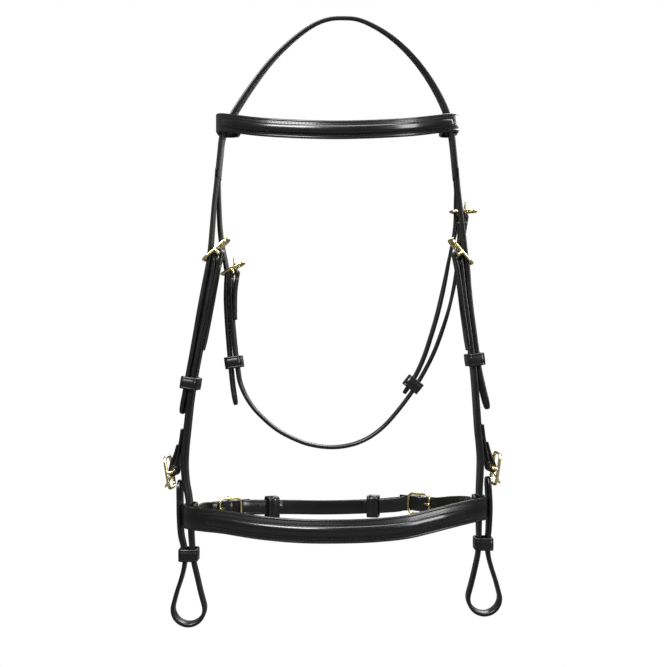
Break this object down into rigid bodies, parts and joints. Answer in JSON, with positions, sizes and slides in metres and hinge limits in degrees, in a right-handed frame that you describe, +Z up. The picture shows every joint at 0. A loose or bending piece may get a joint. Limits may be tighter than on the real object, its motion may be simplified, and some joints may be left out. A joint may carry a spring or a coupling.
{
  "type": "snaffle bridle headstall",
  "caption": "Hanging leather headstall with padded browband and noseband, throatlash and brass centre-bar buckles, ready to take a bit in its bottom loops.",
  "frame": {"origin": "outer face of the headpiece's crown, on its centre line from side to side", "axes": "+Z up as the bridle hangs, -Y the front where the browband is, +X to the viewer's right when seen from the front"},
  "size_m": [0.2862, 0.1667, 0.5226],
  "materials": {
    "strap_leather": "glossy black",
    "band_leather": "glossy black",
    "keeper_leather": "glossy black",
    "brass": "polished"
  },
  "bodies": {
    "straps": {"headpiece": "strap_leather", "left_cheekpiece": "strap_leather", "right_cheekpiece": "strap_leather", "left_bit_chape": "strap_leather", "right_bit_chape": "strap_leather", "throatlash": "strap_leather"},
    "browband": {"browband_strip": "band_leather", "browband_raise": "band_leather"},
    "noseband": {"noseband_strip": "band_leather", "noseband_raise": "band_leather", "left_noseband_billet": "band_leather", "right_noseband_billet": "band_leather", "chin_strap": "band_leather"},
    "left_cheek_buckle_frame": {"left_cheek_buckle_frame": "brass"},
    "left_cheek_buckle_tongue": {"left_cheek_buckle_tongue": "brass"},
    "right_cheek_buckle_frame": {"right_cheek_buckle_frame": "brass"},
    "right_cheek_buckle_tongue": {"right_cheek_buckle_tongue": "brass"},
    "left_bit_buckle_frame": {"left_bit_buckle_frame": "brass"},
    "left_bit_buckle_tongue": {"left_bit_buckle_tongue": "brass"},
    "right_bit_buckle_frame": {"right_bit_buckle_frame": "brass"},
    "right_bit_buckle_tongue": {"right_bit_buckle_tongue": "brass"},
    "left_throatlash_buckle_frame": {"left_throatlash_buckle_frame": "brass"},
    "left_throatlash_buckle_tongue": {"left_throatlash_buckle_tongue": "brass"},
    "right_throatlash_buckle_frame": {"right_throatlash_buckle_frame": "brass"},
    "right_throatlash_buckle_tongue": {"right_throatlash_buckle_tongue": "brass"},
    "left_chin_buckle_frame": {"left_chin_buckle_frame": "brass"},
    "left_chin_buckle_tongue": {"left_chin_buckle_tongue": "brass"},
    "right_chin_buckle_frame": {"right_chin_buckle_frame": "brass"},
    "right_chin_buckle_tongue": {"right_chin_buckle_tongue": "brass"},
    "left_cheek_keeper": {"left_cheek_keeper": "keeper_leather"},
    "right_cheek_keeper": {"right_cheek_keeper": "keeper_leather"},
    "left_throatlash_keeper": {"left_throatlash_keeper": "keeper_leather"},
    "right_throatlash_keeper": {"right_throatlash_keeper": "keeper_leather"},
    "left_bit_keeper": {"left_bit_keeper": "keeper_leather"},
    "right_bit_keeper": {"right_bit_keeper": "keeper_leather"},
    "left_chin_keeper": {"left_chin_keeper": "keeper_leather"},
    "right_chin_keeper": {"right_chin_keeper": "keeper_leather"}
  },
  "joints": [
    {"name": "browband_slide", "type": "slide", "parent": "straps", "child": "browband", "axis": [0, 0, 1], "range_m": [-0.0045, 0.0025]},
    {"name": "noseband_slide", "type": "slide", "parent": "straps", "child": "noseband", "axis": [0, 0, 1], "range_m": [-0.006, 0.001]},
    {"name": "left_cheek_buckle_hinge", "type": "hinge", "parent": "straps", "child": "left_cheek_buckle_frame", "pos_m": [-0.099, 0, -0.2007], "axis": [0.0599, 0.9982, 0], "range_deg": [-5, 35]},
    {"name": "left_cheek_tongue_hinge", "type": "hinge", "parent": "left_cheek_buckle_frame", "child": "left_cheek_buckle_tongue", "pos_m": [-0.099, 0, -0.2007], "axis": [-0.0599, -0.9982, 0], "range_deg": [0, 32]},
    {"name": "right_cheek_buckle_hinge", "type": "hinge", "parent": "straps", "child": "right_cheek_buckle_frame", "pos_m": [0.103, 0, -0.2023], "axis": [-0.0599, 0.9982, 0], "range_deg": [-35, 1.5]},
    {"name": "right_cheek_tongue_hinge", "type": "hinge", "parent": "right_cheek_buckle_frame", "child": "right_cheek_buckle_tongue", "pos_m": [0.103, 0, -0.2023], "axis": [-0.0599, 0.9982, 0], "range_deg": [0, 21]},
    {"name": "left_bit_buckle_hinge", "type": "hinge", "parent": "straps", "child": "left_bit_buckle_frame", "pos_m": [-0.1374, 0, -0.3861], "axis": [0.1191, 0.9929, 0], "range_deg": [-7, 12]},
    {"name": "left_bit_tongue_hinge", "type": "hinge", "parent": "left_bit_buckle_frame", "child": "left_bit_buckle_tongue", "pos_m": [-0.1374, 0, -0.3861], "axis": [0.1191, 0.9929, 0], "range_deg": [-12, 50]},
    {"name": "right_bit_buckle_hinge", "type": "hinge", "parent": "straps", "child": "right_bit_buckle_frame", "pos_m": [0.1317, 0, -0.3827], "axis": [-0.1191, 0.9929, 0], "range_deg": [-16, 3]},
    {"name": "right_bit_tongue_hinge", "type": "hinge", "parent": "right_bit_buckle_frame", "child": "right_bit_buckle_tongue", "pos_m": [0.1317, 0, -0.3827], "axis": [0.1191, -0.9929, 0], "range_deg": [-12, 50]},
    {"name": "left_throatlash_buckle_hinge", "type": "hinge", "parent": "straps", "child": "left_throatlash_buckle_frame", "pos_m": [-0.0875, 0.0254, -0.2162], "axis": [0.0995, 0.995, 0], "range_deg": [-12, 14]},
    {"name": "left_throatlash_tongue_hinge", "type": "hinge", "parent": "left_throatlash_buckle_frame", "child": "left_throatlash_buckle_tongue", "pos_m": [-0.0875, 0.0254, -0.2162], "axis": [-0.0995, -0.995, 0], "range_deg": [-34, 20]},
    {"name": "right_throatlash_buckle_hinge", "type": "hinge", "parent": "straps", "child": "right_throatlash_buckle_frame", "pos_m": [0.1106, 0.0242, -0.1673], "axis": [0.2873, 0.9578, 0], "range_deg": [-18, 6]},
    {"name": "right_throatlash_tongue_hinge", "type": "hinge", "parent": "right_throatlash_buckle_frame", "child": "right_throatlash_buckle_tongue", "pos_m": [0.1106, 0.0242, -0.1673], "axis": [-0.2873, -0.9578, 0], "range_deg": [-46, 20]},
    {"name": "left_chin_buckle_hinge", "type": "hinge", "parent": "noseband", "child": "left_chin_buckle_frame", "pos_m": [-0.0954, 0.056, -0.424], "axis": [0, 0, 1], "range_deg": [-1, 0.6]},
    {"name": "left_chin_tongue_hinge", "type": "hinge", "parent": "left_chin_buckle_frame", "child": "left_chin_buckle_tongue", "pos_m": [-0.0954, 0.056, -0.424], "axis": [0, 0, 1], "range_deg": [0, 8]},
    {"name": "right_chin_buckle_hinge", "type": "hinge", "parent": "noseband", "child": "right_chin_buckle_frame", "pos_m": [0.076, 0.064, -0.421], "axis": [0, 0, -1], "range_deg": [-1, 0.6]},
    {"name": "right_chin_tongue_hinge", "type": "hinge", "parent": "right_chin_buckle_frame", "child": "right_chin_buckle_tongue", "pos_m": [0.076, 0.064, -0.421], "axis": [0, 0, -1], "range_deg": [0, 8]},
    {"name": "left_cheek_keeper_slide", "type": "slide", "parent": "straps", "child": "left_cheek_keeper", "axis": [0.1542, -0.0262, 0.9877], "range_m": [-0.01, 0.01]},
    {"name": "right_cheek_keeper_slide", "type": "slide", "parent": "straps", "child": "right_cheek_keeper", "axis": [-0.1311, -0.0177, 0.9912], "range_m": [-0.01, 0.0025]},
    {"name": "left_throatlash_keeper_slide", "type": "slide", "parent": "straps", "child": "left_throatlash_keeper", "axis": [-0.1471, 0.0147, 0.989], "range_m": [-0.002, 0.003]},
    {"name": "right_throatlash_keeper_slide", "type": "slide", "parent": "straps", "child": "right_throatlash_keeper", "axis": [0.6157, 0, 0.788], "range_m": [-0.003, 0.003]},
    {"name": "left_bit_keeper_slide", "type": "slide", "parent": "straps", "child": "left_bit_keeper", "axis": [0, 0, 1], "range_m": [-0.002, 0.002]},
    {"name": "right_bit_keeper_slide", "type": "slide", "parent": "straps", "child": "right_bit_keeper", "axis": [0, 0, 1], "range_m": [-0.002, 0.002]},
    {"name": "left_chin_keeper_slide", "type": "slide", "parent": "noseband", "child": "left_chin_keeper", "axis": [0.9336, 0.3584, 0], "range_m": [-0.006, 0.006]},
    {"name": "right_chin_keeper_slide", "type": "slide", "parent": "noseband", "child": "right_chin_keeper", "axis": [0.9833, -0.1822, 0], "range_m": [-0.003, 0.003]}
  ]
}
